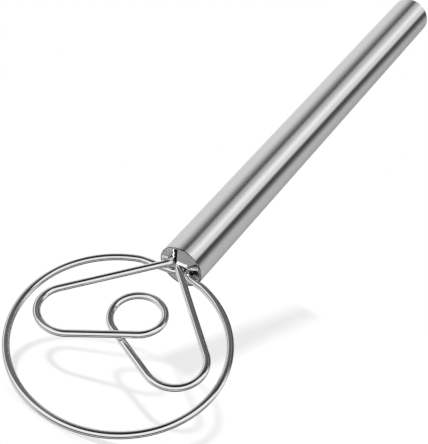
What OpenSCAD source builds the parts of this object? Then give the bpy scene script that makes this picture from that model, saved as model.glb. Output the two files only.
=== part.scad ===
// Dough whisk: a round hoop of wire with a two-lobed inner loop, both held in the mouth of a tube handle.
// The handle's axis is the X axis. Its mouth is at x = 0 and its butt at +X, the wire head reaches to -X,
// and the hoop lies parallel to the XY plane with the loop on its +Z side. +Y is the whisk's left.

/* [Handle] */
// Outside diameter of the handle tube
handle_d = 22; // [19:0.5:30]
// Length of the handle over its butt cap
handle_len = 250; // [120:5:300]
// Wall of the handle tube
handle_wall = 0.7; // [0.5:0.1:1]
// Thickness of the plate that closes the butt
butt_plate = 1.5; // [1:0.1:3]
// Radius round the edge of the butt
butt_edge = 0.6; // [0.2:0.1:0.9]

/* [Wire] */
// Diameter of the wire of the hoop and of the loop
wire_d = 3.3; // [2.6:0.1:3.5]
// Gap between the hoop's wire and the loop's wire where the one lies over the other
layer_gap = 0.4; // [0.2:0.1:1]
// Gap where the loop's wire passes over itself
cross_gap = 0.2; // [0.1:0.1:1]

/* [Hoop] */
// Radius of the hoop, to the middle of its wire
hoop_r = 46.9; // [42:0.1:60]
// Height of the hoop's middle above the handle's axis
hoop_z = -1.5; // [-2:0.1:-1]
// Sideways place of the hoop's middle
hoop_y = -1; // [-2:0.5:2]
// Bend that takes the hoop's left end into the handle
hoop_left_bend = 4; // [3.5:0.5:4.5]
// Bend that takes the hoop's right end into the handle
hoop_right_bend = 3.5; // [3:0.5:4.5]

/* [Loop] */
// Radius of the left lobe's end
left_lobe_r = 13.3; // [10:0.1:15]
// Space between the left lobe and the hoop
left_lobe_gap = 5.3; // [2:0.1:8]
// Direction of the left lobe, seen from the hoop's middle
left_lobe_angle = 95.5; // [88:0.5:102]
// Radius of the right lobe's end
right_lobe_r = 13.3; // [10:0.1:15]
// Space between the right lobe and the hoop
right_lobe_gap = 4.1; // [2:0.1:8]
// Direction of the right lobe, seen from the hoop's middle
right_lobe_angle = -85; // [-92:0.5:-78]
// Radius of the eye, the small ring between the lobes
eye_r = 11.7; // [9:0.1:13]
// Distance of the eye from the hoop's middle, towards the handle
eye_x = 12.5; // [8:0.5:15]
// Radius of the bends that take the loop's legs into the handle
leg_bend = 5; // [4:0.5:6]
// Fall of the loop towards its left lobe, per millimetre of width
loop_roll = 0.03; // [0:0.01:0.05]

/* [Throat] */
// Thickness of the throat cap's plate
cap_plate = 1.2; // [0.8:0.1:2]
// Width of the crease that runs up the throat cap
crease_w = 1.8; // [1.2:0.1:2]
// Width of the lips along the other folds of the throat cap
lip_w = 0.6; // [0.4:0.1:1.2]
// Height by which the crease and the lips stand up
lip_h = 0.9; // [0.5:0.1:1.2]
// Width of the slits beside the creases
slit_w = 0.5; // [0.3:0.1:0.8]
// Distance by which the flap over the loop's right leg stands out of the mouth
flap_rise = 2.3; // [0.5:0.1:2.5]
// Depth from the mouth to the plug that grips the wires
plug_depth = 6; // [5:0.5:20]
// Length of the plug
plug_len = 20; // [10:1:40]

/* [Hidden] */
$fn = 64;

// Clearance of a piece seated inside the tube
seat_gap = 0.05;
// Clearance of a wire in its bore in the plug
bore_gap = 0.1;
// Space round the wires in the throat cap's opening
mouth_gap = 0.35;
// Width and depth of the groove between the tube and the throat cap
groove_w = 0.35;
groove_depth = 0.6;
// Wall and length of the collars that the two caps have inside the tube
collar_wall = 1.5;
collar_len = 3;
// Length of wire that stands out behind the plug
tail_over = 1;
// A bend is this much thicker than the straight runs that end inside it
bend_swell = 0.04;
// Length by which a straight run enters the bend next to it
lap = 0.2;
// A chain of bends round one circle is drawn this much tighter, which leaves a straight run between two bends
chain_ease = 0.5;
// Bends in the chain round a lobe, round the eye and round the hoop
lobe_bends = 3;
eye_bends = 5;
hoop_bends = 8;

inner_r = handle_d / 2 - handle_wall;
seat_r = inner_r - seat_gap;
tail_end = plug_depth + plug_len + tail_over;
loop_z = hoop_z + wire_d + layer_gap;
cross_rise = (wire_d + cross_gap) / 2;

// Places, across the handle, where the four ends of wire go in
loop_tail_gap = 0.5;
hoop_tail_gap = 0.4;
loop_right_y = 0.4;
loop_left_y = loop_right_y + wire_d + loop_tail_gap;
hoop_left_y = -0.2;
hoop_right_y = hoop_left_y - wire_d - hoop_tail_gap;
// Places along the handle where the bends of the loop's legs end
leg_left_x = -0.5;
leg_right_x = -0.1;
// Gaps between the mouth and the hoop's wire where it turns in
hoop_left_room = 0.9;
hoop_right_room = 0.3;
// Gap between the mouth and the hoop, if the hoop were a whole circle
hoop_setback = 0.1;
// Sideways place of the eye's middle from the hoop's
eye_y = -0.4;

// Middle of the hoop, and the middles of the loop's three rounds
hoop_c = [-hoop_r - wire_d / 2 - hoop_setback, hoop_y];
lobe_span = hoop_r - wire_d;
left_c = around(hoop_c, lobe_span - left_lobe_gap - left_lobe_r, left_lobe_angle);
right_c = around(hoop_c, lobe_span - right_lobe_gap - right_lobe_r, right_lobe_angle);
eye_c = hoop_c + [eye_x, eye_y];

function unit(v) = v / norm(v);
function around(c, r, a) = c + r * [cos(a), sin(a)];
function turn(a, b, c) = acos(max(-1, min(1, unit(b - a) * unit(c - b))));

// First heading past h0, going anticlockwise, that points the same way as h
function onward(h, h0) = let (d = (h - h0) % 360) h0 + (d < 0 ? d + 360 : d);

// Heading of the straight run between two circles. A radius is negative where the wire turns clockwise.
function heading(a, ra, b, rb) = atan2(b.y - a.y, b.x - a.x) + asin((ra - rb) / norm(b - a));

// Corners of the n equal bends that take the wire round a circle, from heading h0 to heading h1
function chain(c, r, h0, h1, n) =
  let (step = (h1 - h0) / n)
  [for (k = [0:n - 1]) around(c, r / cos(step / 2), h0 + step * (k + 0.5) - 90)];

function lift(points, z) = [for (p = points) [p.x, p.y, z]];
function rolled(points, rises) =
  [for (k = [0:len(points) - 1]) let (p = points[k]) [p.x, p.y, loop_z - loop_roll * p.y + rises[k]]];
function same(value, n) = [for (k = [1:n]) value];

// The hoop: its two ends turn out of the handle, ease onto the circle and run round it
hoop_left_ease_angle = 26;
hoop_right_ease_angle = 18;
hoop_ease_bend = 12;
hoop_ease_run = 2;
hoop_left_x = -wire_d / 2 - hoop_left_room;
hoop_right_x = -wire_d / 2 - hoop_right_room;
hoop_chain = chain(hoop_c, -hoop_r, 270 - hoop_right_ease_angle, hoop_left_ease_angle - 90, hoop_bends);
hoop_right_ease = around(hoop_c, hoop_r, -hoop_right_ease_angle)
  + hoop_ease_run * [sin(hoop_right_ease_angle), cos(hoop_right_ease_angle)];
hoop_left_ease = around(hoop_c, hoop_r, hoop_left_ease_angle)
  + hoop_ease_run * [sin(hoop_left_ease_angle), -cos(hoop_left_ease_angle)];
hoop_points = lift(concat(
  [[tail_end, hoop_right_y], [hoop_right_x, hoop_right_y], hoop_right_ease],
  hoop_chain,
  [hoop_left_ease, [hoop_left_x, hoop_left_y], [tail_end, hoop_left_y]]), hoop_z);
hoop_bend_r = concat(
  [0, hoop_right_bend, hoop_ease_bend],
  same(hoop_r - chain_ease, hoop_bends),
  [hoop_ease_bend, hoop_left_bend, 0]);

// The loop: along the left leg, round the left lobe, over itself, round the eye, round the right lobe and back
leg_left_c = [leg_left_x, loop_left_y + leg_bend];
leg_right_c = [leg_right_x, loop_right_y - leg_bend];
out_heading = heading(leg_left_c, -leg_bend, left_c, left_lobe_r);
over_heading = onward(heading(left_c, left_lobe_r, eye_c, eye_r), out_heading);
under_heading = onward(heading(eye_c, eye_r, right_c, right_lobe_r), over_heading);
back_heading = onward(heading(right_c, right_lobe_r, leg_right_c, -leg_bend), under_heading);
lobe_rises = [for (k = [1:lobe_bends]) min(1, k / (lobe_bends - 1)) * cross_rise];
eye_rises = [for (k = [0:eye_bends - 1]) cross_rise * (1 - 2 * k / (eye_bends - 1))];
loop_points = concat(
  [[tail_end, loop_left_y, loop_z]],
  lift(chain(leg_left_c, -leg_bend, 180, out_heading, 1), loop_z),
  rolled(chain(left_c, left_lobe_r, out_heading, over_heading, lobe_bends), lobe_rises),
  rolled(chain(eye_c, eye_r, over_heading, under_heading, eye_bends), eye_rises),
  rolled(chain(right_c, right_lobe_r, under_heading, back_heading, lobe_bends),
    [for (k = [lobe_bends - 1:-1:0]) -lobe_rises[k]]),
  lift(chain(leg_right_c, -leg_bend, back_heading, 360 * floor(back_heading / 360), 1), loop_z),
  [[tail_end, loop_right_y, loop_z]]);
loop_bend_r = concat(
  [0, leg_bend],
  same(left_lobe_r - chain_ease, lobe_bends),
  same(eye_r - chain_ease, eye_bends),
  same(right_lobe_r - chain_ease, lobe_bends),
  [leg_bend, 0]);

// Places the children with their Z axis along u at the point p
module along(p, u) {
  steep = 0.9;
  side = abs(u.z) < steep ? unit(cross([0, 0, 1], u)) : [1, 0, 0];
  w = unit(cross(u, side));
  s = cross(w, u);
  multmatrix([[s.x, w.x, u.x, p.x], [s.y, w.y, u.y, p.y], [s.z, w.z, u.z, p.z], [0, 0, 0, 1]]) children();
}

// A wire bent at the inner points of p, each with its radius in r
module bent_wire(p, r) {
  last = len(p) - 1;
  setback = [for (i = [0:last]) i == 0 || i == last ? 0 : r[i] * tan(turn(p[i - 1], p[i], p[i + 1]) / 2)];
  for (i = [0:last - 1]) {
    u = unit(p[i + 1] - p[i]);
    from = i == 0 ? 0 : setback[i] - lap;
    to = i + 1 == last ? 0 : setback[i + 1] - lap;
    along(p[i] + u * from, u) cylinder(d = wire_d, h = norm(p[i + 1] - p[i]) - from - to);
  }
  for (i = [1:last - 1]) {
    u = unit(p[i] - p[i - 1]);
    v = unit(p[i + 1] - p[i]);
    w = unit(v - u * (u * v));
    n = cross(u, w);
    c = p[i] - u * setback[i] + w * r[i];
    multmatrix([[-w.x, u.x, n.x, c.x], [-w.y, u.y, n.y, c.y], [-w.z, u.z, n.z, c.z], [0, 0, 0, 1]])
      rotate_extrude(angle = turn(p[i - 1], p[i], p[i + 1]))
        translate([r[i], 0]) circle(d = wire_d + bend_swell);
  }
}

// Turns a flat shape drawn in (y, z) to face along the handle and gives it depth from x = from to x = to
module across(from, to) {
  translate([from, 0, 0]) rotate([90, 0, 90]) linear_extrude(to - from) children();
}

module rod(from, to, d) {
  translate([from, 0, 0]) rotate([0, 90, 0]) cylinder(d = d, h = to - from);
}

// A flat slot between two points, with round ends
module slot(a, b, w) {
  translate(a) circle(d = w);
  translate(b) circle(d = w);
  bar(a, b, w);
}

module bar(a, b, w) {
  translate(a) rotate(atan2(b.y - a.y, b.x - a.x)) translate([0, -w / 2]) square([norm(b - a), w]);
}

module handle_tube() color("silver") difference() {
  rod(0, handle_len - butt_plate, handle_d);
  rod(-1, handle_len, 2 * inner_r);
}

module butt_cap() color("silver") translate([handle_len, 0, 0]) rotate([0, -90, 0]) {
  difference() {
    union() {
      translate([0, 0, butt_edge]) cylinder(d = handle_d, h = butt_plate - butt_edge);
      cylinder(d = handle_d - 2 * butt_edge, h = butt_edge);
      translate([0, 0, butt_edge]) rotate_extrude() translate([handle_d / 2 - butt_edge, 0])
        intersection() {
          circle(r = butt_edge);
          translate([0, -butt_edge]) square([butt_edge, butt_edge]);
        }
      cylinder(r = seat_r, h = butt_plate + collar_len);
    }
    translate([0, 0, butt_plate]) cylinder(r = seat_r - collar_wall, h = collar_len + 1);
  }
}

cap_r = seat_r - groove_w;
// Radius out to which the slits and the pocket reach, just inside the throat cap's edge
field_margin = 0.4;
field_r = cap_r - field_margin;
// Distance of a lip from the edges of what it stands on, and depth of its foot in the plate
lip_inset = 0.1;
ridge_sink = cap_plate / 2;
// Height of the opening round the wires, and the lower edge of the flap, just above the loop's legs
wide = wire_d + 2 * mouth_gap;
field_z = loop_z + wide / 2;
// The opening and the lip above the pocket reach this far past the hoop's right end
right_room = 0.6;

// Directions, about the handle's axis from the whisk's left towards its top, of the forms that run to the rim
crease_angle = 69;
crease_slit_angle = 58;
flap_left_angle = 75;
flap_right_angle = 141;
gap_left_angle = 73;
gap_right_angle = 146;
pocket_lip_angle = 153;
left_lip_angle = 4;
left_slit_angle = -1;

// The flap over the loop's right leg leans forward from the rim to its free edge, between these two corners
flap_left = 0.7;
flap_right = 0.3;
flap_edge = [[loop_right_y + flap_left, field_z], [hoop_right_y - flap_right, field_z]];
flap_rim = [for (a = [flap_left_angle, flap_right_angle]) around([0, 0], cap_r, a)];
flap_root = [for (q = flap_rim) [0, q.x, q.y]];
flap_corner = [-flap_rise, flap_edge[0].x, flap_edge[0].y];
flap_back = unit(cross(flap_root[1] - flap_root[0], flap_corner - flap_root[0]));
flap_lean = -flap_back.z / flap_back.x;

// Where the throat cap is cut away round the flap
gap_left = 1.1;
gap_right = 0.4;
gap_drop = 0.6;
flap_gap = [[loop_left_y - gap_left, loop_z], [hoop_right_y + gap_right, loop_z - gap_drop]];
flap_gap_rim = [for (a = [gap_left_angle, gap_right_angle]) around([0, 0], cap_r, a)];

// The crease, from its foot at the opening out to the rim
crease_foot = 0.2;
crease_shift = 0.3;
crease_y = loop_left_y - crease_shift;
crease_ends = [[crease_y, field_z - crease_foot], around([0, 0], handle_d / 2, crease_angle)];

// The lips above the pocket and on the left, each from its end nearer the whisk's left
pocket_lip_drop = 0.9;
left_lip_drop = 0.7;
left_lip_gap = 0.8;
lips = [
  [[hoop_right_y - right_room, loop_z - pocket_lip_drop], around([0, 0], handle_d / 2, pocket_lip_angle)],
  [around([0, 0], handle_d / 2, left_lip_angle),
    [loop_left_y + wire_d / 2 + left_lip_gap, loop_z - left_lip_drop]],
];

// The slits beside the crease and below the left lip, which start this far above and below the loop's left leg
slit_gap = 1.2;
slits = [
  [[crease_y + (crease_w + slit_w) / 2, loop_z + slit_gap], around([0, 0], field_r, crease_slit_angle)],
  [[loop_left_y, loop_z - slit_gap], around([0, 0], field_r, left_slit_angle)],
];

// The open pocket beside the hoop's right end. Its outer corners are shares of field_r in their directions.
pocket_rise = 2;
pocket = [
  [hoop_right_y, hoop_z],
  [hoop_right_y - right_room, hoop_z + pocket_rise],
  around([0, 0], 0.72 * field_r, 165),
  around([0, 0], 0.94 * field_r, 161),
  around([0, 0], field_r, 168),
  around([0, 0], field_r, 180),
  around([0, 0], 0.88 * field_r, 188),
];

// A place on the front of the flap's plane, under the point q of the mouth
function on_flap(q) =
  let (d = [0, q.x, q.y] - flap_root[0])
  [-(d.y * flap_back.y + d.z * flap_back.z) / flap_back.x, q.x, q.y];

// A ridge from a to b: its outline is drawn looking along it, with X into the cap
module ridge(a, b, outline) {
  along(a, unit(b - a)) linear_extrude(norm(b - a)) polygon(outline);
}

// A lip that stands out steeply and falls back over its width to a face that leans by lean
module lip(a, b, lean) {
  inset = lip_inset * unit(b - a);
  ridge(a + inset, b - inset, [
    [ridge_sink, lip_inset],
    [-lip_h, lip_inset],
    [lean * lip_w, lip_w],
    [lean * lip_w + ridge_sink, lip_w],
  ]);
}

// The crease stands out steeply on the flap's side and falls back over its width towards the whisk's left
module crease() intersection() {
  side = crease_w / 2;
  q = crease_ends;
  ridge([0, q[0].x, q[0].y], [0, q[1].x, q[1].y], [
    [ridge_sink, -side],
    [-lip_h, -side],
    [0, side],
    [ridge_sink, side],
  ]);
  rod(-lip_h - 1, cap_plate, 2 * cap_r);
}

// Between two inner points and two points on the rim, out past the rim
module sector(inner, rim) {
  polygon([inner[0], inner[1], 2 * rim[1], 2 * (rim[0] + rim[1]), 2 * rim[0]]);
}

module flap() {
  intersection() {
    along(flap_root[0], flap_back)
      translate([-handle_d, -handle_d, 0]) cube([2 * handle_d, 2 * handle_d, cap_plate]);
    across(-flap_rise - cap_plate, cap_plate + collar_len) intersection() {
      circle(r = cap_r);
      sector(flap_edge, flap_rim);
    }
  }
  lip(on_flap(flap_edge[0]), on_flap(flap_edge[1]), flap_lean);
}

module opening() {
  // Around the loop's two ends, above the hoop's two ends
  slot([loop_left_y, loop_z], [loop_right_y, loop_z], wide);
  slot([hoop_left_y, hoop_z], [hoop_right_y - right_room, hoop_z], wide);
  polygon(pocket);
  for (s = slits) bar(s[0], s[1], slit_w);
}

module throat_cap() color("gainsboro") difference() {
  union() {
    difference() {
      union() {
        rod(0, groove_depth, 2 * cap_r);
        rod(groove_depth / 2, cap_plate + collar_len, 2 * seat_r);
        crease();
        for (q = lips) intersection() {
          lip([0, q[0].x, q[0].y], [0, q[1].x, q[1].y], 0);
          rod(-lip_h - 1, cap_plate, 2 * cap_r);
        }
      }
      across(-1, cap_plate) sector(flap_gap, flap_gap_rim);
      across(-lip_h - 1, cap_plate + 1) opening();
    }
    flap();
  }
  rod(cap_plate, cap_plate + collar_len + 1, 2 * (seat_r - collar_wall));
}

module anchor_plug() color("dimgray") difference() {
  rod(plug_depth, plug_depth + plug_len, 2 * seat_r);
  for (t = [[loop_left_y, loop_z], [loop_right_y, loop_z], [hoop_left_y, hoop_z], [hoop_right_y, hoop_z]])
    translate([0, t.x, t.y]) rod(plug_depth - 1, tail_end, wire_d + bore_gap);
}

module hoop_wire() color("lightgray") bent_wire(hoop_points, hoop_bend_r);

module loop_wire() color("lightgray") bent_wire(loop_points, loop_bend_r);

handle_tube();
butt_cap();
throat_cap();
anchor_plug();
hoop_wire();
loop_wire();
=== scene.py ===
"""Dresses the dough whisk for pictures: polished wire, brushed tube, pressed throat cap, white floor and soft studio.

Sizes are in millimetres in the classes and become metres when a mesh is made. The frame is the whisk's own:
the handle's axis is +X with its mouth at x = 0, the wire head reaches to -X, and the loop lies on the +Z side.
"""

import logging
import math
from dataclasses import dataclass, field
from enum import Enum

import bmesh
import bpy
from mathutils import Matrix, Vector

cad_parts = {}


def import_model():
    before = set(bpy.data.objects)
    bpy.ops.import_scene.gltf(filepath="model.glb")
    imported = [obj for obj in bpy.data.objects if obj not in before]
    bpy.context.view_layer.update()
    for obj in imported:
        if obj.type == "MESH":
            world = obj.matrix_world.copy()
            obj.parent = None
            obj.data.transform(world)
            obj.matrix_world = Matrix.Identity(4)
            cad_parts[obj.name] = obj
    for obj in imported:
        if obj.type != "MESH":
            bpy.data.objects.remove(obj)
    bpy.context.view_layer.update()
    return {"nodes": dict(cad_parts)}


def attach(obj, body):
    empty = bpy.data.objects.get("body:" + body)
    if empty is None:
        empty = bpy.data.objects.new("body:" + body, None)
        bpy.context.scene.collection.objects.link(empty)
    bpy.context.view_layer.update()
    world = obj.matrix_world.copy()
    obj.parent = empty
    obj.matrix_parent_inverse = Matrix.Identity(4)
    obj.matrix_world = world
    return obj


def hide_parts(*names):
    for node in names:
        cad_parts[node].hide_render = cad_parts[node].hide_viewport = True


LOG = logging.getLogger("dough_whisk")
MM = 0.001
BODY = "root"
PHOTO_WIDTH = 428
PHOTO_HEIGHT = 444


class Slot(Enum):
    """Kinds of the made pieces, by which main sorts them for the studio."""

    HANDLE = "handle"
    THROAT = "throat"
    PLUG = "plug"
    WIRE = "wire"


def unit(v: Vector) -> Vector:
    """Returns v with length one."""
    return v.normalized()


def around(centre: Vector, radius: float, angle: float) -> Vector:
    """Finds a point on a circle in the XY plane.

    Args:
        centre: Middle of the circle.
        radius: Its radius.
        angle: Direction from the middle, in degrees.

    Returns:
        The point, at the centre's height.
    """
    a = math.radians(angle)
    return centre + radius * Vector((math.cos(a), math.sin(a), 0))


class Nodes:
    """Adds and wires the nodes of one material or world."""

    def __init__(self, tree: bpy.types.NodeTree) -> None:
        """Starts from an empty tree."""
        self.tree = tree
        tree.nodes.clear()

    def add(self, kind: str, **settings: object) -> bpy.types.Node:
        """Adds a node.

        Args:
            kind: Blender's node type without its ShaderNode prefix.
            settings: Properties of the node to set.

        Returns:
            The new node.
        """
        node = self.tree.nodes.new("ShaderNode" + kind)
        for name, value in settings.items():
            setattr(node, name, value)
        return node

    def link(self, source: bpy.types.NodeSocket, target: bpy.types.NodeSocket) -> None:
        """Joins two sockets."""
        self.tree.links.new(source, target)

    def math(self, operation: str, *values: object, clamp: bool = False) -> bpy.types.NodeSocket:
        """Adds a Math node.

        Args:
            operation: Name of the operation.
            values: Sockets or numbers for its inputs.
            clamp: Whether the result is kept between 0 and 1.

        Returns:
            The node's output.
        """
        node = self.add("Math", operation=operation, use_clamp=clamp)
        for index, value in enumerate(values):
            if isinstance(value, bpy.types.NodeSocket):
                self.link(value, node.inputs[index])
            else:
                node.inputs[index].default_value = value
        return node.outputs[0]

    def ease(self, value: bpy.types.NodeSocket, start: float, end: float) -> bpy.types.NodeSocket:
        """Adds a smooth step that rises from 0 at start to 1 at end, or falls where end is the smaller."""
        node = self.add("MapRange", interpolation_type="SMOOTHSTEP")
        self.link(value, node.inputs["Value"])
        low, high = min(start, end), max(start, end)
        node.inputs["From Min"].default_value = low
        node.inputs["From Max"].default_value = high
        node.inputs["To Min"].default_value = 0.0 if start < end else 1.0
        node.inputs["To Max"].default_value = 1.0 if start < end else 0.0
        return node.outputs["Result"]


def new_material(name: str) -> tuple[bpy.types.Material, Nodes]:
    """Makes an empty node material.

    Args:
        name: Name of the material.

    Returns:
        The material and the helper that fills its tree.
    """
    material = bpy.data.materials.new(name)
    material.use_nodes = True
    return material, Nodes(material.node_tree)


@dataclass(frozen=True)
class BrushedSteel:
    """Stainless steel brushed round the handle's axis."""

    name: str = "brushed_steel"
    grey: tuple[float, float, float] = (0.70, 0.70, 0.705)
    roughness: float = 0.27
    anisotropy: float = 1.0
    line_density: float = 2600.0
    across_density: float = 30.0
    line_depth: float = 0.02

    def build(self) -> bpy.types.Material:
        """Makes the material."""
        material, nodes = new_material(self.name)
        shader = nodes.add("BsdfPrincipled")
        out = nodes.add("OutputMaterial")
        nodes.link(shader.outputs[0], out.inputs["Surface"])
        shader.inputs["Metallic"].default_value = 1.0
        shader.inputs["Anisotropic"].default_value = self.anisotropy
        shader.inputs["Anisotropic Rotation"].default_value = 0.25
        tangent = nodes.add("Tangent", direction_type="RADIAL", axis="X")
        nodes.link(tangent.outputs[0], shader.inputs["Tangent"])
        place = nodes.add("TexCoord")
        stretch = nodes.add("Mapping")
        stretch.inputs["Scale"].default_value = (self.line_density, self.across_density, self.across_density)
        nodes.link(place.outputs["Object"], stretch.inputs["Vector"])
        lines = nodes.add("TexNoise")
        lines.inputs["Scale"].default_value = 1.0
        lines.inputs["Detail"].default_value = 3.0
        nodes.link(stretch.outputs[0], lines.inputs["Vector"])
        tone = nodes.add("MapRange")
        nodes.link(lines.outputs["Fac"], tone.inputs["Value"])
        tone.inputs["From Min"].default_value = 0.25
        tone.inputs["From Max"].default_value = 0.75
        tone.inputs["To Min"].default_value = 0.93
        tone.inputs["To Max"].default_value = 1.05
        grey = nodes.add("Mix", data_type="RGBA", blend_type="MULTIPLY")
        grey.inputs[0].default_value = 1.0
        grey.inputs[6].default_value = (*self.grey, 1)
        nodes.link(tone.outputs[0], grey.inputs[7])
        nodes.link(grey.outputs[2], shader.inputs["Base Color"])
        rough = nodes.add("MapRange")
        nodes.link(lines.outputs["Fac"], rough.inputs["Value"])
        rough.inputs["To Min"].default_value = self.roughness - 0.06
        rough.inputs["To Max"].default_value = self.roughness + 0.06
        nodes.link(rough.outputs[0], shader.inputs["Roughness"])
        bump = nodes.add("Bump")
        bump.inputs["Strength"].default_value = self.line_depth
        bump.inputs["Distance"].default_value = 0.1 * MM
        nodes.link(lines.outputs["Fac"], bump.inputs["Height"])
        nodes.link(bump.outputs[0], shader.inputs["Normal"])
        return material


@dataclass(frozen=True)
class PolishedWire:
    """Bright polished wire with the faint lines of its drawing along it."""

    name: str = "polished_wire"
    grey: tuple[float, float, float] = (0.84, 0.84, 0.845)
    roughness: float = 0.06

    def build(self) -> bpy.types.Material:
        """Makes the material."""
        material, nodes = new_material(self.name)
        shader = nodes.add("BsdfPrincipled")
        out = nodes.add("OutputMaterial")
        nodes.link(shader.outputs[0], out.inputs["Surface"])
        shader.inputs["Metallic"].default_value = 1.0
        place = nodes.add("UVMap", uv_map="wire")
        stretch = nodes.add("Mapping")
        stretch.inputs["Scale"].default_value = (26.0, 0.05, 1.0)
        nodes.link(place.outputs[0], stretch.inputs["Vector"])
        lines = nodes.add("TexNoise")
        lines.inputs["Scale"].default_value = 1.0
        lines.inputs["Detail"].default_value = 2.0
        nodes.link(stretch.outputs[0], lines.inputs["Vector"])
        tone = nodes.add("MapRange")
        nodes.link(lines.outputs["Fac"], tone.inputs["Value"])
        tone.inputs["To Min"].default_value = 0.92
        tone.inputs["To Max"].default_value = 1.06
        grey = nodes.add("Mix", data_type="RGBA", blend_type="MULTIPLY")
        grey.inputs[0].default_value = 1.0
        grey.inputs[6].default_value = (*self.grey, 1)
        nodes.link(tone.outputs[0], grey.inputs[7])
        nodes.link(grey.outputs[2], shader.inputs["Base Color"])
        rough = nodes.add("MapRange")
        nodes.link(lines.outputs["Fac"], rough.inputs["Value"])
        rough.inputs["To Min"].default_value = self.roughness - 0.03
        rough.inputs["To Max"].default_value = self.roughness + 0.04
        nodes.link(rough.outputs[0], shader.inputs["Roughness"])
        return material


@dataclass(frozen=True)
class SatinSteel:
    """Pressed steel with a fine satin grain."""

    name: str = "satin_steel"
    grey: tuple[float, float, float] = (0.62, 0.62, 0.625)
    roughness: float = 0.38
    grain_density: float = 2500.0

    def build(self) -> bpy.types.Material:
        """Makes the material."""
        material, nodes = new_material(self.name)
        shader = nodes.add("BsdfPrincipled")
        out = nodes.add("OutputMaterial")
        nodes.link(shader.outputs[0], out.inputs["Surface"])
        shader.inputs["Metallic"].default_value = 1.0
        place = nodes.add("TexCoord")
        grain = nodes.add("TexNoise")
        grain.inputs["Scale"].default_value = self.grain_density
        grain.inputs["Detail"].default_value = 3.0
        nodes.link(place.outputs["Object"], grain.inputs["Vector"])
        tone = nodes.add("MapRange")
        nodes.link(grain.outputs["Fac"], tone.inputs["Value"])
        tone.inputs["To Min"].default_value = 0.85
        tone.inputs["To Max"].default_value = 1.15
        grey = nodes.add("Mix", data_type="RGBA", blend_type="MULTIPLY")
        grey.inputs[0].default_value = 1.0
        grey.inputs[6].default_value = (*self.grey, 1)
        nodes.link(tone.outputs[0], grey.inputs[7])
        nodes.link(grey.outputs[2], shader.inputs["Base Color"])
        rough = nodes.add("MapRange")
        nodes.link(grain.outputs["Fac"], rough.inputs["Value"])
        rough.inputs["To Min"].default_value = self.roughness - 0.08
        rough.inputs["To Max"].default_value = self.roughness + 0.08
        nodes.link(rough.outputs[0], shader.inputs["Roughness"])
        return material


@dataclass(frozen=True)
class PlugFinish:
    """Dark, dull filler that grips the wires inside the tube."""

    name: str = "dark_filler"
    grey: tuple[float, float, float] = (0.05, 0.05, 0.052)

    def build(self) -> bpy.types.Material:
        """Makes the material."""
        material, nodes = new_material(self.name)
        shader = nodes.add("BsdfPrincipled")
        out = nodes.add("OutputMaterial")
        nodes.link(shader.outputs[0], out.inputs["Surface"])
        place = nodes.add("TexCoord")
        grain = nodes.add("TexNoise")
        grain.inputs["Scale"].default_value = 900.0
        nodes.link(place.outputs["Object"], grain.inputs["Vector"])
        grey = nodes.add("Mix", data_type="RGBA", blend_type="MULTIPLY")
        grey.inputs[0].default_value = 0.5
        grey.inputs[6].default_value = (*self.grey, 1)
        nodes.link(grain.outputs["Fac"], grey.inputs[7])
        nodes.link(grey.outputs[2], shader.inputs["Base Color"])
        shader.inputs["Roughness"].default_value = 0.7
        return material


@dataclass
class BentWire:
    """A round wire that follows corner points, each rounded by its own bend."""

    corners: list[Vector]
    bends: list[float]
    diameter: float
    sides: int = 32
    bend_step: float = 2.5
    straight_step: float = 4.0

    def centre_line(self) -> list[Vector]:
        """Works out the points along the middle of the wire.

        Returns:
            Points in millimetres, close together in the bends.
        """
        last = len(self.corners) - 1
        line = [self.corners[0]]
        for i in range(1, last):
            before, here, after = self.corners[i - 1 : i + 2]
            u, v = unit(here - before), unit(after - here)
            turn = u.angle(v)
            back = self.bends[i] * math.tan(turn / 2)
            w = unit(v - u * u.dot(v))
            middle = here - u * back + w * self.bends[i]
            steps = max(2, round(math.degrees(turn) / self.bend_step))
            for k in range(steps + 1):
                a = turn * k / steps
                line.append(middle + self.bends[i] * (u * math.sin(a) - w * math.cos(a)))
        line.append(self.corners[-1])
        return self.spread(line)

    def spread(self, line: list[Vector]) -> list[Vector]:
        """Drops points that coincide and fills long straight runs with points of their own."""
        out = [line[0]]
        for point in line[1:]:
            gap = (point - out[-1]).length
            if gap < 0.02:
                continue
            pieces = max(1, round(gap / self.straight_step))
            start = out[-1]
            out += [start.lerp(point, k / pieces) for k in range(1, pieces + 1)]
        return out

    def mesh(self, name: str) -> bpy.types.Object:
        """Sweeps the round section along the centre line.

        Args:
            name: Name of the new piece.

        Returns:
            The piece, in metres.
        """
        line = self.centre_line()
        last = len(line) - 1
        tangents = [unit(line[min(i + 1, last)] - line[max(i - 1, 0)]) for i in range(last + 1)]
        side = unit(tangents[0].orthogonal())
        bm = bmesh.new()
        uv = bm.loops.layers.uv.new("wire")
        rings, lengths, run = [], [], 0.0
        for i, (point, tangent) in enumerate(zip(line, tangents)):
            side = unit(side - tangent * side.dot(tangent))
            other = tangent.cross(side)
            run += (point - line[i - 1]).length if i else 0.0
            lengths.append(run)
            ring = []
            for k in range(self.sides):
                a = 2 * math.pi * k / self.sides
                offset = self.diameter / 2 * (side * math.cos(a) + other * math.sin(a))
                ring.append(bm.verts.new((point + offset) * MM))
            rings.append(ring)
        for i in range(last):
            for k in range(self.sides):
                j = (k + 1) % self.sides
                face = bm.faces.new((rings[i][k], rings[i][j], rings[i + 1][j], rings[i + 1][k]))
                face.smooth = True
                where = ((k, i), (k + 1, i), (k + 1, i + 1), (k, i + 1))
                for loop, (a, b) in zip(face.loops, where):
                    loop[uv].uv = (a / self.sides, lengths[b])
        for ring, flip in ((rings[0], True), (rings[-1], False)):
            face = bm.faces.new(list(reversed(ring)) if flip else ring)
            for edge in face.edges:
                edge.smooth = False
        mesh = bpy.data.meshes.new(name)
        bm.to_mesh(mesh)
        bm.free()
        piece = bpy.data.objects.new(name, mesh)
        bpy.context.scene.collection.objects.link(piece)
        return piece


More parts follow.
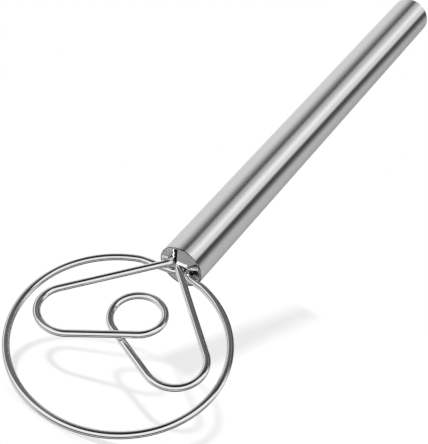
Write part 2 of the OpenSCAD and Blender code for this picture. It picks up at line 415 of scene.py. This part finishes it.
def chain(centre: Vector, radius: float, start: float, end: float, count: int) -> list[Vector]:
    """Finds the corners of equal bends that take a wire round a circle.

    Args:
        centre: Middle of the circle.
        radius: Radius of the wire's centre line, negative where it turns clockwise.
        start: Heading on arrival, in degrees.
        end: Heading on leaving.
        count: Number of bends.

    Returns:
        The corners, at the centre's height.
    """
    step = (end - start) / count
    reach = radius / math.cos(math.radians(step) / 2)
    return [around(centre, reach, start + step * (k + 0.5) - 90) for k in range(count)]


def heading(a: Vector, ra: float, b: Vector, rb: float) -> float:
    """Finds the heading of the straight run from one circle to the next.

    Args:
        a: Middle of the first circle.
        ra: Its radius, negative where the wire turns clockwise.
        b: Middle of the second circle.
        rb: Its radius.

    Returns:
        The heading in degrees.
    """
    d = b - a
    return math.degrees(math.atan2(d.y, d.x) + math.asin((ra - rb) / Vector((d.x, d.y)).length))


def onward(h: float, base: float) -> float:
    """Returns the first heading past base, going anticlockwise, that points the same way as h."""
    return base + (h - base) % 360


@dataclass
class WireSizes:
    """Sizes that the hoop and the loop share."""

    diameter: float = 3.3
    layer_gap: float = 0.4
    cross_gap: float = 0.2
    hoop_radius: float = 46.9
    hoop_height: float = -1.5
    hoop_side: float = -1.0
    hoop_setback: float = 0.1
    tail_end: float = 27.0

    def hoop_centre(self) -> Vector:
        """Returns the middle of the hoop."""
        return Vector((-self.hoop_radius - self.diameter / 2 - self.hoop_setback, self.hoop_side, self.hoop_height))

    def loop_height(self) -> float:
        """Returns the height of the loop's middle above the handle's axis."""
        return self.hoop_height + self.diameter + self.layer_gap


@dataclass
class Hoop:
    """The round outer wire, both of whose ends go into the handle."""

    sizes: WireSizes
    left_y: float = -0.2
    right_y: float = -3.9
    left_bend: float = 4.0
    right_bend: float = 3.5
    left_ease: float = 26.0
    right_ease: float = 18.0
    ease_bend: float = 12.0
    ease_run: float = 2.0
    left_room: float = 0.9
    right_room: float = 0.3
    bends: int = 8

    def wire(self) -> BentWire:
        """Lays out the hoop's corners and bends."""
        s = self.sizes
        c = s.hoop_centre()
        left_x, right_x = -s.diameter / 2 - self.left_room, -s.diameter / 2 - self.right_room
        right, left = math.radians(self.right_ease), math.radians(self.left_ease)
        right_corner = around(c, s.hoop_radius, -self.right_ease)
        right_corner += self.ease_run * Vector((math.sin(right), math.cos(right), 0))
        left_corner = around(c, s.hoop_radius, self.left_ease)
        left_corner += self.ease_run * Vector((math.sin(left), -math.cos(left), 0))
        corners = [Vector((s.tail_end, self.right_y, c.z)), Vector((right_x, self.right_y, c.z)), right_corner]
        corners += chain(c, -s.hoop_radius, 270 - self.right_ease, self.left_ease - 90, self.bends)
        corners += [left_corner, Vector((left_x, self.left_y, c.z)), Vector((s.tail_end, self.left_y, c.z))]
        bends = [0, self.right_bend, self.ease_bend]
        bends += [s.hoop_radius] * self.bends
        bends += [self.ease_bend, self.left_bend, 0]
        return BentWire(corners, bends, s.diameter)

    def build(self, finish: bpy.types.Material) -> bpy.types.Object:
        """Makes the hoop and puts it in place of its plain solid."""
        piece = self.wire().mesh("hoop_round")
        piece.data.materials.append(finish)
        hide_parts("hoop_wire")
        return piece


@dataclass
class Loop:
    """The inner wire: a left lobe, a small eye and a right lobe."""

    sizes: WireSizes
    left_y: float = 4.2
    right_y: float = 0.4
    left_leg_x: float = -0.5
    right_leg_x: float = -0.1
    leg_bend: float = 5.0
    left_radius: float = 13.3
    left_gap: float = 5.3
    left_angle: float = 95.5
    right_radius: float = 13.3
    right_gap: float = 4.1
    right_angle: float = -85.0
    eye_radius: float = 11.7
    eye_forward: float = 12.5
    eye_side: float = -0.4
    roll: float = 0.03
    lobe_bends: int = 3
    eye_bends: int = 5

    def rolled(self, points: list[Vector], rises: list[float]) -> list[Vector]:
        """Lifts points to the loop's tilted plane, each with its own rise where wires cross."""
        base = self.sizes.loop_height()
        return [Vector((p.x, p.y, base - self.roll * p.y + rise)) for p, rise in zip(points, rises)]

    def wire(self) -> BentWire:
        """Lays out the loop's corners and bends."""
        s = self.sizes
        z = s.loop_height()
        middle = s.hoop_centre()
        middle.z = z
        span = s.hoop_radius - s.diameter
        left = around(middle, span - self.left_gap - self.left_radius, self.left_angle)
        right = around(middle, span - self.right_gap - self.right_radius, self.right_angle)
        eye = middle + Vector((self.eye_forward, self.eye_side, 0))
        left_leg = Vector((self.left_leg_x, self.left_y + self.leg_bend, z))
        right_leg = Vector((self.right_leg_x, self.right_y - self.leg_bend, z))
        out = heading(left_leg, -self.leg_bend, left, self.left_radius)
        over = onward(heading(left, self.left_radius, eye, self.eye_radius), out)
        under = onward(heading(eye, self.eye_radius, right, self.right_radius), over)
        back = onward(heading(right, self.right_radius, right_leg, -self.leg_bend), under)
        rise = (s.diameter + s.cross_gap) / 2
        lobe_rises = [min(1.0, k / (self.lobe_bends - 1)) * rise for k in range(1, self.lobe_bends + 1)]
        eye_rises = [rise * (1 - 2 * k / (self.eye_bends - 1)) for k in range(self.eye_bends)]
        corners = [Vector((s.tail_end, self.left_y, z))]
        corners += chain(left_leg, -self.leg_bend, 180, out, 1)
        corners += self.rolled(chain(left, self.left_radius, out, over, self.lobe_bends), lobe_rises)
        corners += self.rolled(chain(eye, self.eye_radius, over, under, self.eye_bends), eye_rises)
        corners += self.rolled(
            chain(right, self.right_radius, under, back, self.lobe_bends), [-r for r in reversed(lobe_rises)]
        )
        corners += chain(right_leg, -self.leg_bend, back, 360 * math.floor(back / 360), 1)
        corners.append(Vector((s.tail_end, self.right_y, z)))
        bends = [0, self.leg_bend]
        bends += [self.left_radius] * self.lobe_bends
        bends += [self.eye_radius] * self.eye_bends
        bends += [self.right_radius] * self.lobe_bends
        bends += [self.leg_bend, 0]
        return BentWire(corners, bends, s.diameter)

    def build(self, finish: bpy.types.Material) -> bpy.types.Object:
        """Makes the loop and puts it in place of its plain solid."""
        piece = self.wire().mesh("loop_round")
        piece.data.materials.append(finish)
        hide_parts("loop_wire")
        return piece


@dataclass
class Turned:
    """A piece turned round the handle's axis from a closed outline of (x, radius) points."""

    outline: list[tuple[float, float]]
    sharp_angle: float = 35.0
    sides: int = 160

    def mesh(self, name: str) -> bpy.types.Object:
        """Turns the outline.

        Args:
            name: Name of the new piece.

        Returns:
            The piece, in metres.
        """
        bm = bmesh.new()
        rings = []
        for x, r in self.outline:
            if r == 0:
                rings.append([bm.verts.new((x * MM, 0, 0))])
                continue
            ring = []
            for k in range(self.sides):
                a = 2 * math.pi * k / self.sides
                ring.append(bm.verts.new((x * MM, r * MM * math.cos(a), r * MM * math.sin(a))))
            rings.append(ring)
        closed = self.outline[0][1] > 0
        pairs = list(zip(rings, rings[1:] + rings[:1])) if closed else list(zip(rings, rings[1:]))
        for near, far in pairs:
            for k in range(self.sides):
                j = (k + 1) % self.sides
                corners = [near[k % len(near)], near[j % len(near)], far[j % len(far)], far[k % len(far)]]
                face = bm.faces.new(list(dict.fromkeys(corners)))
                face.smooth = True
        bmesh.ops.recalc_face_normals(bm, faces=bm.faces)
        limit = math.radians(self.sharp_angle)
        for edge in bm.edges:
            if len(edge.link_faces) == 2 and edge.calc_face_angle() > limit:
                edge.smooth = False
        mesh = bpy.data.meshes.new(name)
        bm.to_mesh(mesh)
        bm.free()
        piece = bpy.data.objects.new(name, mesh)
        bpy.context.scene.collection.objects.link(piece)
        return piece


def rounded(x: float, r: float, radius: float, start: float, end: float, steps: int = 6) -> list[tuple[float, float]]:
    """Finds the points of a rounded edge.

    Args:
        x: Place of the round's middle along the axis.
        r: Distance of its middle from the axis.
        radius: Radius of the round.
        start: First direction in degrees, 0 towards +X and 90 away from the axis.
        end: Last direction.
        steps: Number of pieces.

    Returns:
        The (x, radius) points.
    """
    points = []
    for k in range(steps + 1):
        a = math.radians(start + (end - start) * k / steps)
        points.append((x + radius * math.cos(a), r + radius * math.sin(a)))
    return points


@dataclass
class Handle:
    """The brushed tube and the cap that closes its butt."""

    diameter: float = 22.0
    length: float = 250.0
    wall: float = 0.7
    butt_plate: float = 1.5
    butt_edge: float = 0.6
    collar_wall: float = 1.5
    collar_length: float = 3.0
    seat_gap: float = 0.05
    rim_round: float = 0.25

    def tube(self) -> bpy.types.Object:
        """Makes the tube with its softened mouth rim."""
        outer = self.diameter / 2
        inner = outer - self.wall
        end = self.length - self.butt_plate
        e = self.rim_round
        outline = rounded(e, outer - e, e, 180, 90) + [(k * end / 24, outer) for k in range(1, 25)]
        outline += [(end, inner)] + rounded(e, inner + e, e, 270, 180)
        return Turned(outline).mesh("brushed_tube")

    def butt(self) -> bpy.types.Object:
        """Makes the butt cap with its rounded edge and the collar that sits in the tube."""
        outer = self.diameter / 2
        seat = outer - self.wall - self.seat_gap
        plate = self.length - self.butt_plate
        e = self.butt_edge
        outline = [(self.length, 0.0), (self.length, outer / 2)]
        outline += rounded(self.length - e, outer - e, e, 0, 90)
        outline += [(plate, outer), (plate, seat), (plate - self.collar_length, seat)]
        outline += [(plate - self.collar_length, seat - self.collar_wall), (plate, seat - self.collar_wall), (plate, 0.0)]
        return Turned(outline).mesh("brushed_butt")

    def build(self, finish: bpy.types.Material) -> list[bpy.types.Object]:
        """Makes both pieces and puts them in place of their plain solids."""
        tube, butt = self.tube(), self.butt()
        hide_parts("handle_tube")
        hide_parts("butt_cap")
        for piece in (tube, butt):
            piece.data.materials.append(finish)
        return [tube, butt]


@dataclass(frozen=True)
class Card:
    """A grey card of the studio, given by the directions that it fills as seen from the wire head."""

    name: str
    azimuth: tuple[float, float]
    elevation: tuple[float, float]
    level: float
    soft: float = 8.0


@dataclass(frozen=True)
class Band:
    """A band of light along the handle, in degrees round its axis where x is 0; its two edges drift on with x."""

    name: str
    rise: tuple[float, float]
    fall: tuple[float, float]
    level: float
    rise_drift: float = 0.0
    fall_drift: float = 0.0


@dataclass(frozen=True)
class Sleeve:
    """A part-cylinder round the handle's axis on which the bands are drawn."""

    name: str
    radius: float
    span: tuple[float, float]
    angles: tuple[float, float]
    steps_round: int = 72


@dataclass(frozen=True)
class Glint:
    """A small lamp for the throat cap alone: the direction it hangs in, its size and its power in watts."""

    name: str
    direction: tuple[float, float, float]
    size: float
    power: float
    distance: float = 120.0


@dataclass
class Studio:
    """Floor, cards, lamp, world and camera."""

    cards: list[Card] = field(
        default_factory=lambda: [
            Card("canopy", (-180.0, 180.0), (67.0, 95.0), 0.01),
            Card("wall_top", (-43.0, 81.0), (41.0, 87.0), 0.01, 12.0),
            Card("wall_band", (-45.0, 21.0), (40.0, 45.0), 0.12, 6.0),
            Card("wall", (-53.0, 49.0), (26.0, 37.0), 0.01, 4.0),
            Card("wall_foot", (-41.0, 20.0), (-30.0, 27.0), 0.054, 20.0),
            Card("back_dark", (-211.0, -87.0), (-24.0, 9.0), 0.01, 12.0),
            Card("back_floor", (-199.0, -37.0), (-90.0, -40.0), 0.01, 20.0),
            Card("left_low", (-106.0, -62.0), (-35.0, 1.0), 0.26, 18.0),
            Card("under", (-64.0, 43.0), (-64.0, -41.0), 0.01, 12.0),
            Card("right_grey", (54.0, 168.0), (-14.0, 6.0), 0.15, 19.0),
            Card("right_arc", (32.0, 104.0), (28.0, 70.0), 0.16, 11.0),
            Card("right_low", (56.0, 172.0), (-85.0, -46.0), 0.28, 6.0),
            Card("right_fill", (-2.0, 36.0), (41.0, 60.0), 0.10, 5.0),
        ]
    )
    veil: Sleeve = field(default_factory=lambda: Sleeve("veil", 150.0, (-40.0, 760.0), (-90.0, 300.0)))
    bands: list[Band] = field(
        default_factory=lambda: [
            Band("dim", (-89.0, -80.0), (299.0, 290.0), 0.075),
            Band("left_edge", (-89.0, -80.0), (-14.0, -58.0), 0.62),
            Band("left", (-89.0, -80.0), (75.0, 33.0), 0.80, 0.0, 0.005),
            Band("shoulder", (-24.0, 10.0), (75.0, 29.0), 0.10, 0.0, 0.005),
            Band("main", (76.5, 87.0), (145.0, 134.0), 0.66, 0.014, 0.043),
            Band("bright", (91.0, 106.0), (145.0, 134.0), 0.30, 0.024, 0.043),
            Band("core", (98.0, 110.0), (128.0, 112.0), 0.33, 0.033, 0.033),
            Band("low", (155.0, 182.0), (299.0, 290.0), 0.62, 0.05, 0.0),
            Band("low_edge", (225.0, 275.0), (299.0, 290.0), -0.25, -0.1, 0.0),
        ]
    )
    glints: list[Glint] = field(
        default_factory=lambda: [
            Glint("crease_glint", (0.04, 0.67, -0.74), 30.0, 0.09),
            Glint("flap_glint", (-0.15, 0.314, 0.95), 40.0, 0.022),
            Glint("pocket_glint", (-0.057, 0.976, 0.208), 40.0, 0.06),
        ]
    )
    dome_radius: float = 2200.0
    card_distance: float = 1500.0
    card_step: float = 40.0
    floor_normal: tuple[float, float, float] = (0.683, -0.04, 0.729)
    floor_level: float = -68.5
    floor_radius: float = 1000.0
    lamp_direction: tuple[float, float, float] = (0.289, 0.123, -0.949)
    lamp_angle: float = 3.6
    eye: tuple[float, float, float] = (-281.09, -152.38, 355.43)
    right: tuple[float, float, float] = (0.52667, -0.84459, 0.09632)
    down: tuple[float, float, float] = (-0.57155, -0.43571, -0.69533)
    forward: tuple[float, float, float] = (0.62924, 0.31116, -0.71221)
    focal_pixels: float = 1065.3

    def camera(self) -> None:
        """Sets the camera where the photograph was taken from."""
        data = bpy.data.cameras.new("photo_camera")
        data.sensor_fit = "HORIZONTAL"
        data.sensor_width = 36.0
        data.lens = self.focal_pixels / PHOTO_WIDTH * data.sensor_width
        data.clip_start = 0.01
        data.clip_end = 50.0
        camera = bpy.data.objects.new("photo_camera", data)
        axes = (Vector(self.right), -Vector(self.down), -Vector(self.forward))
        turn = Matrix([[a[i] for a in axes] for i in range(3)])
        camera.matrix_world = Matrix.Translation(Vector(self.eye) * MM) @ turn.to_4x4()
        bpy.context.scene.collection.objects.link(camera)
        bpy.context.scene.camera = camera

    def world(self) -> None:
        """Lights the scene evenly and shows plain white behind it and in the metal."""
        world = bpy.data.worlds.new("studio_world")
        world.use_nodes = True
        bpy.context.scene.world = world
        nodes = Nodes(world.node_tree)
        path = nodes.add("LightPath")
        seen = nodes.math("MAXIMUM", path.outputs["Is Camera Ray"], path.outputs["Is Glossy Ray"])
        seen = nodes.math("MAXIMUM", seen, path.outputs["Is Transmission Ray"])
        strength = nodes.add("MapRange")
        nodes.link(seen, strength.inputs["Value"])
        strength.inputs["To Min"].default_value = 0.7
        strength.inputs["To Max"].default_value = 1.0
        background = nodes.add("Background")
        background.inputs["Color"].default_value = (1, 1, 1, 1)
        nodes.link(strength.outputs[0], background.inputs["Strength"])
        out = nodes.add("OutputWorld")
        nodes.link(background.outputs[0], out.inputs["Surface"])

    def reflected_only(self, piece: bpy.types.Object) -> None:
        """Makes a stage piece show in polished metal alone."""
        piece.visible_camera = False
        piece.visible_diffuse = False
        piece.visible_transmission = False
        piece.visible_volume_scatter = False
        piece.visible_shadow = False

    def card_mesh(self, card: Card, distance: float) -> bpy.types.Object:
        """Makes a card as a patch of a sphere round the wire head.

        Args:
            card: The card's directions and level.
            distance: How far it hangs from the wire head.

        Returns:
            The patch, with its soft edge in the "card" map.
        """
        bm = bmesh.new()
        uv = bm.loops.layers.uv.new("card")
        a0, a1 = card.azimuth[0] - card.soft / 2, card.azimuth[1] + card.soft / 2
        e0, e1 = max(-90.0, card.elevation[0] - card.soft / 2), min(90.0, card.elevation[1] + card.soft / 2)
        across = max(4, round((a1 - a0) / 5))
        up = max(4, round((e1 - e0) / 5))
        grid = []
        for j in range(up + 1):
            row = []
            for i in range(across + 1):
                a = math.radians(a0 + (a1 - a0) * i / across)
                e = math.radians(e0 + (e1 - e0) * j / up)
                way = Vector((math.cos(e) * math.cos(a), math.cos(e) * math.sin(a), math.sin(e)))
                row.append(bm.verts.new((Vector((-45, 0, 0)) + way * distance) * MM))
            grid.append(row)
        for j in range(up):
            for i in range(across):
                face = bm.faces.new((grid[j][i], grid[j][i + 1], grid[j + 1][i + 1], grid[j + 1][i]))
                for loop, (p, q) in zip(face.loops, ((i, j), (i + 1, j), (i + 1, j + 1), (i, j + 1))):
                    loop[uv].uv = (a0 + (a1 - a0) * p / across, e0 + (e1 - e0) * q / up)
        mesh = bpy.data.meshes.new(card.name)
        bm.to_mesh(mesh)
        bm.free()
        return bpy.data.objects.new(card.name, mesh)

    def card(self, card: Card, distance: float) -> bpy.types.Object:
        """Hangs one grey card with soft edges at a distance from the wire head and returns it."""
        piece = self.card_mesh(card, distance)
        bpy.context.scene.collection.objects.link(piece)
        material, nodes = new_material("card_" + card.name)
        place = nodes.add("UVMap", uv_map="card")
        parts = nodes.add("SeparateXYZ")
        nodes.link(place.outputs[0], parts.inputs[0])
        whole_turn = card.azimuth[1] - card.azimuth[0] >= 360
        h = card.soft / 2
        mask = nodes.math("ADD", 1.0, 0.0)
        if card.elevation[0] > -90:
            mask = nodes.ease(parts.outputs[1], card.elevation[0] - h, card.elevation[0] + h)
        if card.elevation[1] < 90:
            mask = nodes.math("MULTIPLY", mask, nodes.ease(parts.outputs[1], card.elevation[1] + h, card.elevation[1] - h))
        if not whole_turn:
            mask = nodes.math("MULTIPLY", mask, nodes.ease(parts.outputs[0], card.azimuth[0] - h, card.azimuth[0] + h))
            mask = nodes.math("MULTIPLY", mask, nodes.ease(parts.outputs[0], card.azimuth[1] + h, card.azimuth[1] - h))
        clear = nodes.add("BsdfTransparent")
        glow = nodes.add("Emission")
        glow.inputs["Color"].default_value = (card.level, card.level, card.level, 1)
        mix = nodes.add("MixShader")
        nodes.link(mask, mix.inputs[0])
        nodes.link(clear.outputs[0], mix.inputs[1])
        nodes.link(glow.outputs[0], mix.inputs[2])
        out = nodes.add("OutputMaterial")
        nodes.link(mix.outputs[0], out.inputs["Surface"])
        piece.data.materials.append(material)
        self.reflected_only(piece)
        return piece

    def sleeve(self, sleeve: Sleeve) -> bpy.types.Object:
        """Makes a sleeve, with the direction round the axis and the place along it in its "round" map."""
        bm = bmesh.new()
        uv = bm.loops.layers.uv.new("round")
        a0, a1 = sleeve.angles
        rows = []
        for x in sleeve.span:
            row = []
            for i in range(sleeve.steps_round + 1):
                a = math.radians(a0 + (a1 - a0) * i / sleeve.steps_round)
                row.append(bm.verts.new(Vector((x, sleeve.radius * math.cos(a), sleeve.radius * math.sin(a))) * MM))
            rows.append(row)
        for i in range(sleeve.steps_round):
            face = bm.faces.new((rows[0][i], rows[0][i + 1], rows[1][i + 1], rows[1][i]))
            for loop, p, x in zip(face.loops, (i, i + 1, i + 1, i), (sleeve.span[0],) * 2 + (sleeve.span[1],) * 2):
                loop[uv].uv = (a0 + (a1 - a0) * p / sleeve.steps_round, x)
        mesh = bpy.data.meshes.new(sleeve.name)
        bm.to_mesh(mesh)
        bm.free()
        piece = bpy.data.objects.new(sleeve.name, mesh)
        bpy.context.scene.collection.objects.link(piece)
        return piece

    def band_light(self, nodes: Nodes) -> bpy.types.NodeSocket:
        """Draws the bands of the veil.

        Args:
            nodes: The nodes of the veil's material.

        Returns:
            The strength of the light.
        """
        place = nodes.add("UVMap", uv_map="round")
        parts = nodes.add("SeparateXYZ")
        nodes.link(place.outputs[0], parts.inputs[0])
        total = 0.0
        for band in self.bands:
            start = nodes.math("SUBTRACT", parts.outputs[0], nodes.math("MULTIPLY", parts.outputs[1], band.rise_drift))
            end = nodes.math("SUBTRACT", parts.outputs[0], nodes.math("MULTIPLY", parts.outputs[1], band.fall_drift))
            inside = nodes.math("MULTIPLY", nodes.ease(start, *band.rise), nodes.ease(end, *band.fall))
            total = nodes.math("ADD", total, nodes.math("MULTIPLY", inside, band.level))
        return total

    def glowing_veil(self, lit: bpy.types.Collection) -> None:
        """Hangs a clear sleeve whose soft bands of light fall on the handle alone.

        Args:
            lit: The pieces that it lights.
        """
        piece = self.sleeve(self.veil)
        material, nodes = new_material(self.veil.name)
        clear = nodes.add("BsdfTransparent")
        glow = nodes.add("Emission")
        nodes.link(self.band_light(nodes), glow.inputs["Strength"])
        both = nodes.add("AddShader")
        nodes.link(clear.outputs[0], both.inputs[0])
        nodes.link(glow.outputs[0], both.inputs[1])
        out = nodes.add("OutputMaterial")
        nodes.link(both.outputs[0], out.inputs["Surface"])
        piece.data.materials.append(material)
        self.reflected_only(piece)
        piece.light_linking.receiver_collection = lit

    def dome(self, others: bpy.types.Collection) -> None:
        """Hangs the white surrounding that polished metal shows, for all pieces but the handle's.

        Args:
            others: The pieces that it lights.
        """
        bm = bmesh.new()
        bmesh.ops.create_icosphere(bm, subdivisions=4, radius=self.dome_radius * MM)
        mesh = bpy.data.meshes.new("white_dome")
        bm.to_mesh(mesh)
        bm.free()
        piece = bpy.data.objects.new("white_dome", mesh)
        bpy.context.scene.collection.objects.link(piece)
        material, nodes = new_material("white_dome")
        glow = nodes.add("Emission")
        glow.inputs["Color"].default_value = (1, 1, 1, 1)
        out = nodes.add("OutputMaterial")
        nodes.link(glow.outputs[0], out.inputs["Surface"])
        mesh.materials.append(material)
        self.reflected_only(piece)
        piece.light_linking.receiver_collection = others

    def glint(self, glint: Glint, cap: bpy.types.Collection, hidden: bpy.types.Collection) -> None:
        """Hangs a small lamp that lights a fold of the throat cap.

        Args:
            glint: The lamp's place, size and power.
            cap: The pieces that it lights.
            hidden: The pieces that may shade them from it, which lie inside the handle.
        """
        data = bpy.data.lights.new(glint.name, "AREA")
        data.shape = "DISK"
        data.size = glint.size * MM
        data.energy = glint.power
        lamp = bpy.data.objects.new(glint.name, data)
        lamp.location = unit(Vector(glint.direction)) * glint.distance * MM
        lamp.rotation_mode = "QUATERNION"
        lamp.rotation_quaternion = Vector(glint.direction).to_track_quat("Z", "Y")
        bpy.context.scene.collection.objects.link(lamp)
        lamp.visible_camera = False
        lamp.light_linking.receiver_collection = cap
        lamp.light_linking.blocker_collection = hidden

    def floor(self) -> None:
        """Lays the pale floor under the tip of the hoop, with the handle rising from it. It is clear from below."""
        bm = bmesh.new()
        normal = unit(Vector(self.floor_normal))
        centre = Vector((40, 0, 0))
        centre -= normal * (centre.dot(normal) - self.floor_level)
        bmesh.ops.create_circle(bm, cap_ends=True, segments=96, radius=self.floor_radius * MM)
        mesh = bpy.data.meshes.new("floor")
        bm.to_mesh(mesh)
        bm.free()
        piece = bpy.data.objects.new("floor", mesh)
        piece.location = centre * MM
        piece.rotation_mode = "QUATERNION"
        piece.rotation_quaternion = normal.to_track_quat("Z", "Y")
        bpy.context.scene.collection.objects.link(piece)
        material, nodes = new_material("white_floor")
        place = nodes.add("TexCoord")
        distance = nodes.add("VectorMath", operation="LENGTH")
        nodes.link(place.outputs["Object"], distance.inputs[0])
        share = nodes.ease(distance.outputs["Value"], self.floor_radius * MM * 0.98, self.floor_radius * MM * 0.8)
        share = nodes.math("MULTIPLY", share, 0.5)
        matt = nodes.add("BsdfDiffuse")
        matt.inputs["Color"].default_value = (0.95, 0.95, 0.95, 1)
        glow = nodes.add("Emission")
        glow.inputs["Color"].default_value = (1, 1, 1, 1)
        mix = nodes.add("MixShader")
        nodes.link(share, mix.inputs[0])
        nodes.link(glow.outputs[0], mix.inputs[1])
        nodes.link(matt.outputs[0], mix.inputs[2])
        side = nodes.add("NewGeometry")
        clear = nodes.add("BsdfTransparent")
        one_sided = nodes.add("MixShader")
        nodes.link(side.outputs["Backfacing"], one_sided.inputs[0])
        nodes.link(mix.outputs[0], one_sided.inputs[1])
        nodes.link(clear.outputs[0], one_sided.inputs[2])
        out = nodes.add("OutputMaterial")
        nodes.link(one_sided.outputs[0], out.inputs["Surface"])
        piece.data.materials.append(material)
        piece.visible_glossy = False

    def lamp(self) -> None:
        """Hangs the lamp that throws the shadow on the floor."""
        data = bpy.data.lights.new("shadow_lamp", "SUN")
        data.energy = 2.8
        data.angle = math.radians(self.lamp_angle)
        lamp = bpy.data.objects.new("shadow_lamp", data)
        lamp.rotation_mode = "QUATERNION"
        lamp.rotation_quaternion = Vector(self.lamp_direction).to_track_quat("-Z", "Y")
        lamp.visible_glossy = False
        bpy.context.scene.collection.objects.link(lamp)

    def build(self, handle: list[bpy.types.Object], wires: list[bpy.types.Object], nodes: dict) -> None:
        """Sets up the whole studio.

        Args:
            handle: The pieces that the veil lights.
            wires: The wires.
            nodes: The nodes of the frame by name.
        """
        bpy.context.scene.view_settings.view_transform = "Standard"
        self.camera()
        self.world()
        self.lamp()
        self.floor()
        self.glowing_veil(collected("lit_by_veil", handle))
        cap, plug = nodes["throat_cap"], nodes["anchor_plug"]
        around_head = collected("lit_by_dome", [*wires, cap, plug])
        self.dome(around_head)
        for place, card in enumerate(self.cards):
            self.card(card, self.card_distance - place * self.card_step).light_linking.receiver_collection = around_head
        lit, hidden = collected("lit_by_glints", [cap]), collected("behind_glints", [plug])
        for glint in self.glints:
            self.glint(glint, lit, hidden)


def collected(name: str, pieces: list[bpy.types.Object]) -> bpy.types.Collection:
    """Puts pieces into a new collection of their own."""
    collection = bpy.data.collections.new(name)
    for piece in pieces:
        collection.objects.link(piece)
    return collection


def dress(piece: bpy.types.Object, finish: bpy.types.Material) -> None:
    """Gives a solid of the frame a finish on each of its material slots."""
    for spot in piece.material_slots:
        spot.material = finish


def main() -> None:
    """Builds the whisk's visible pieces round the frame and sets up the studio."""
    logging.basicConfig(level=logging.INFO, format="%(name)s: %(message)s")
    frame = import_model()
    brushed, polished = BrushedSteel().build(), PolishedWire().build()
    satin, filler = SatinSteel().build(), PlugFinish().build()
    sizes = WireSizes()
    pieces = [(piece, Slot.HANDLE) for piece in Handle().build(brushed)]
    pieces.append((Hoop(sizes).build(polished), Slot.WIRE))
    pieces.append((Loop(sizes).build(polished), Slot.WIRE))
    for piece, slot in pieces:
        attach(piece, BODY)
        LOG.info("made %s with %d faces", piece.name, len(piece.data.polygons))
    dress(frame["nodes"]["throat_cap"], satin)
    dress(frame["nodes"]["anchor_plug"], filler)
    by_slot = {kind: [piece for piece, slot in pieces if slot is kind] for kind in Slot}
    Studio().build(by_slot[Slot.HANDLE], by_slot[Slot.WIRE], frame["nodes"])


if __name__ == "__main__":
    main()
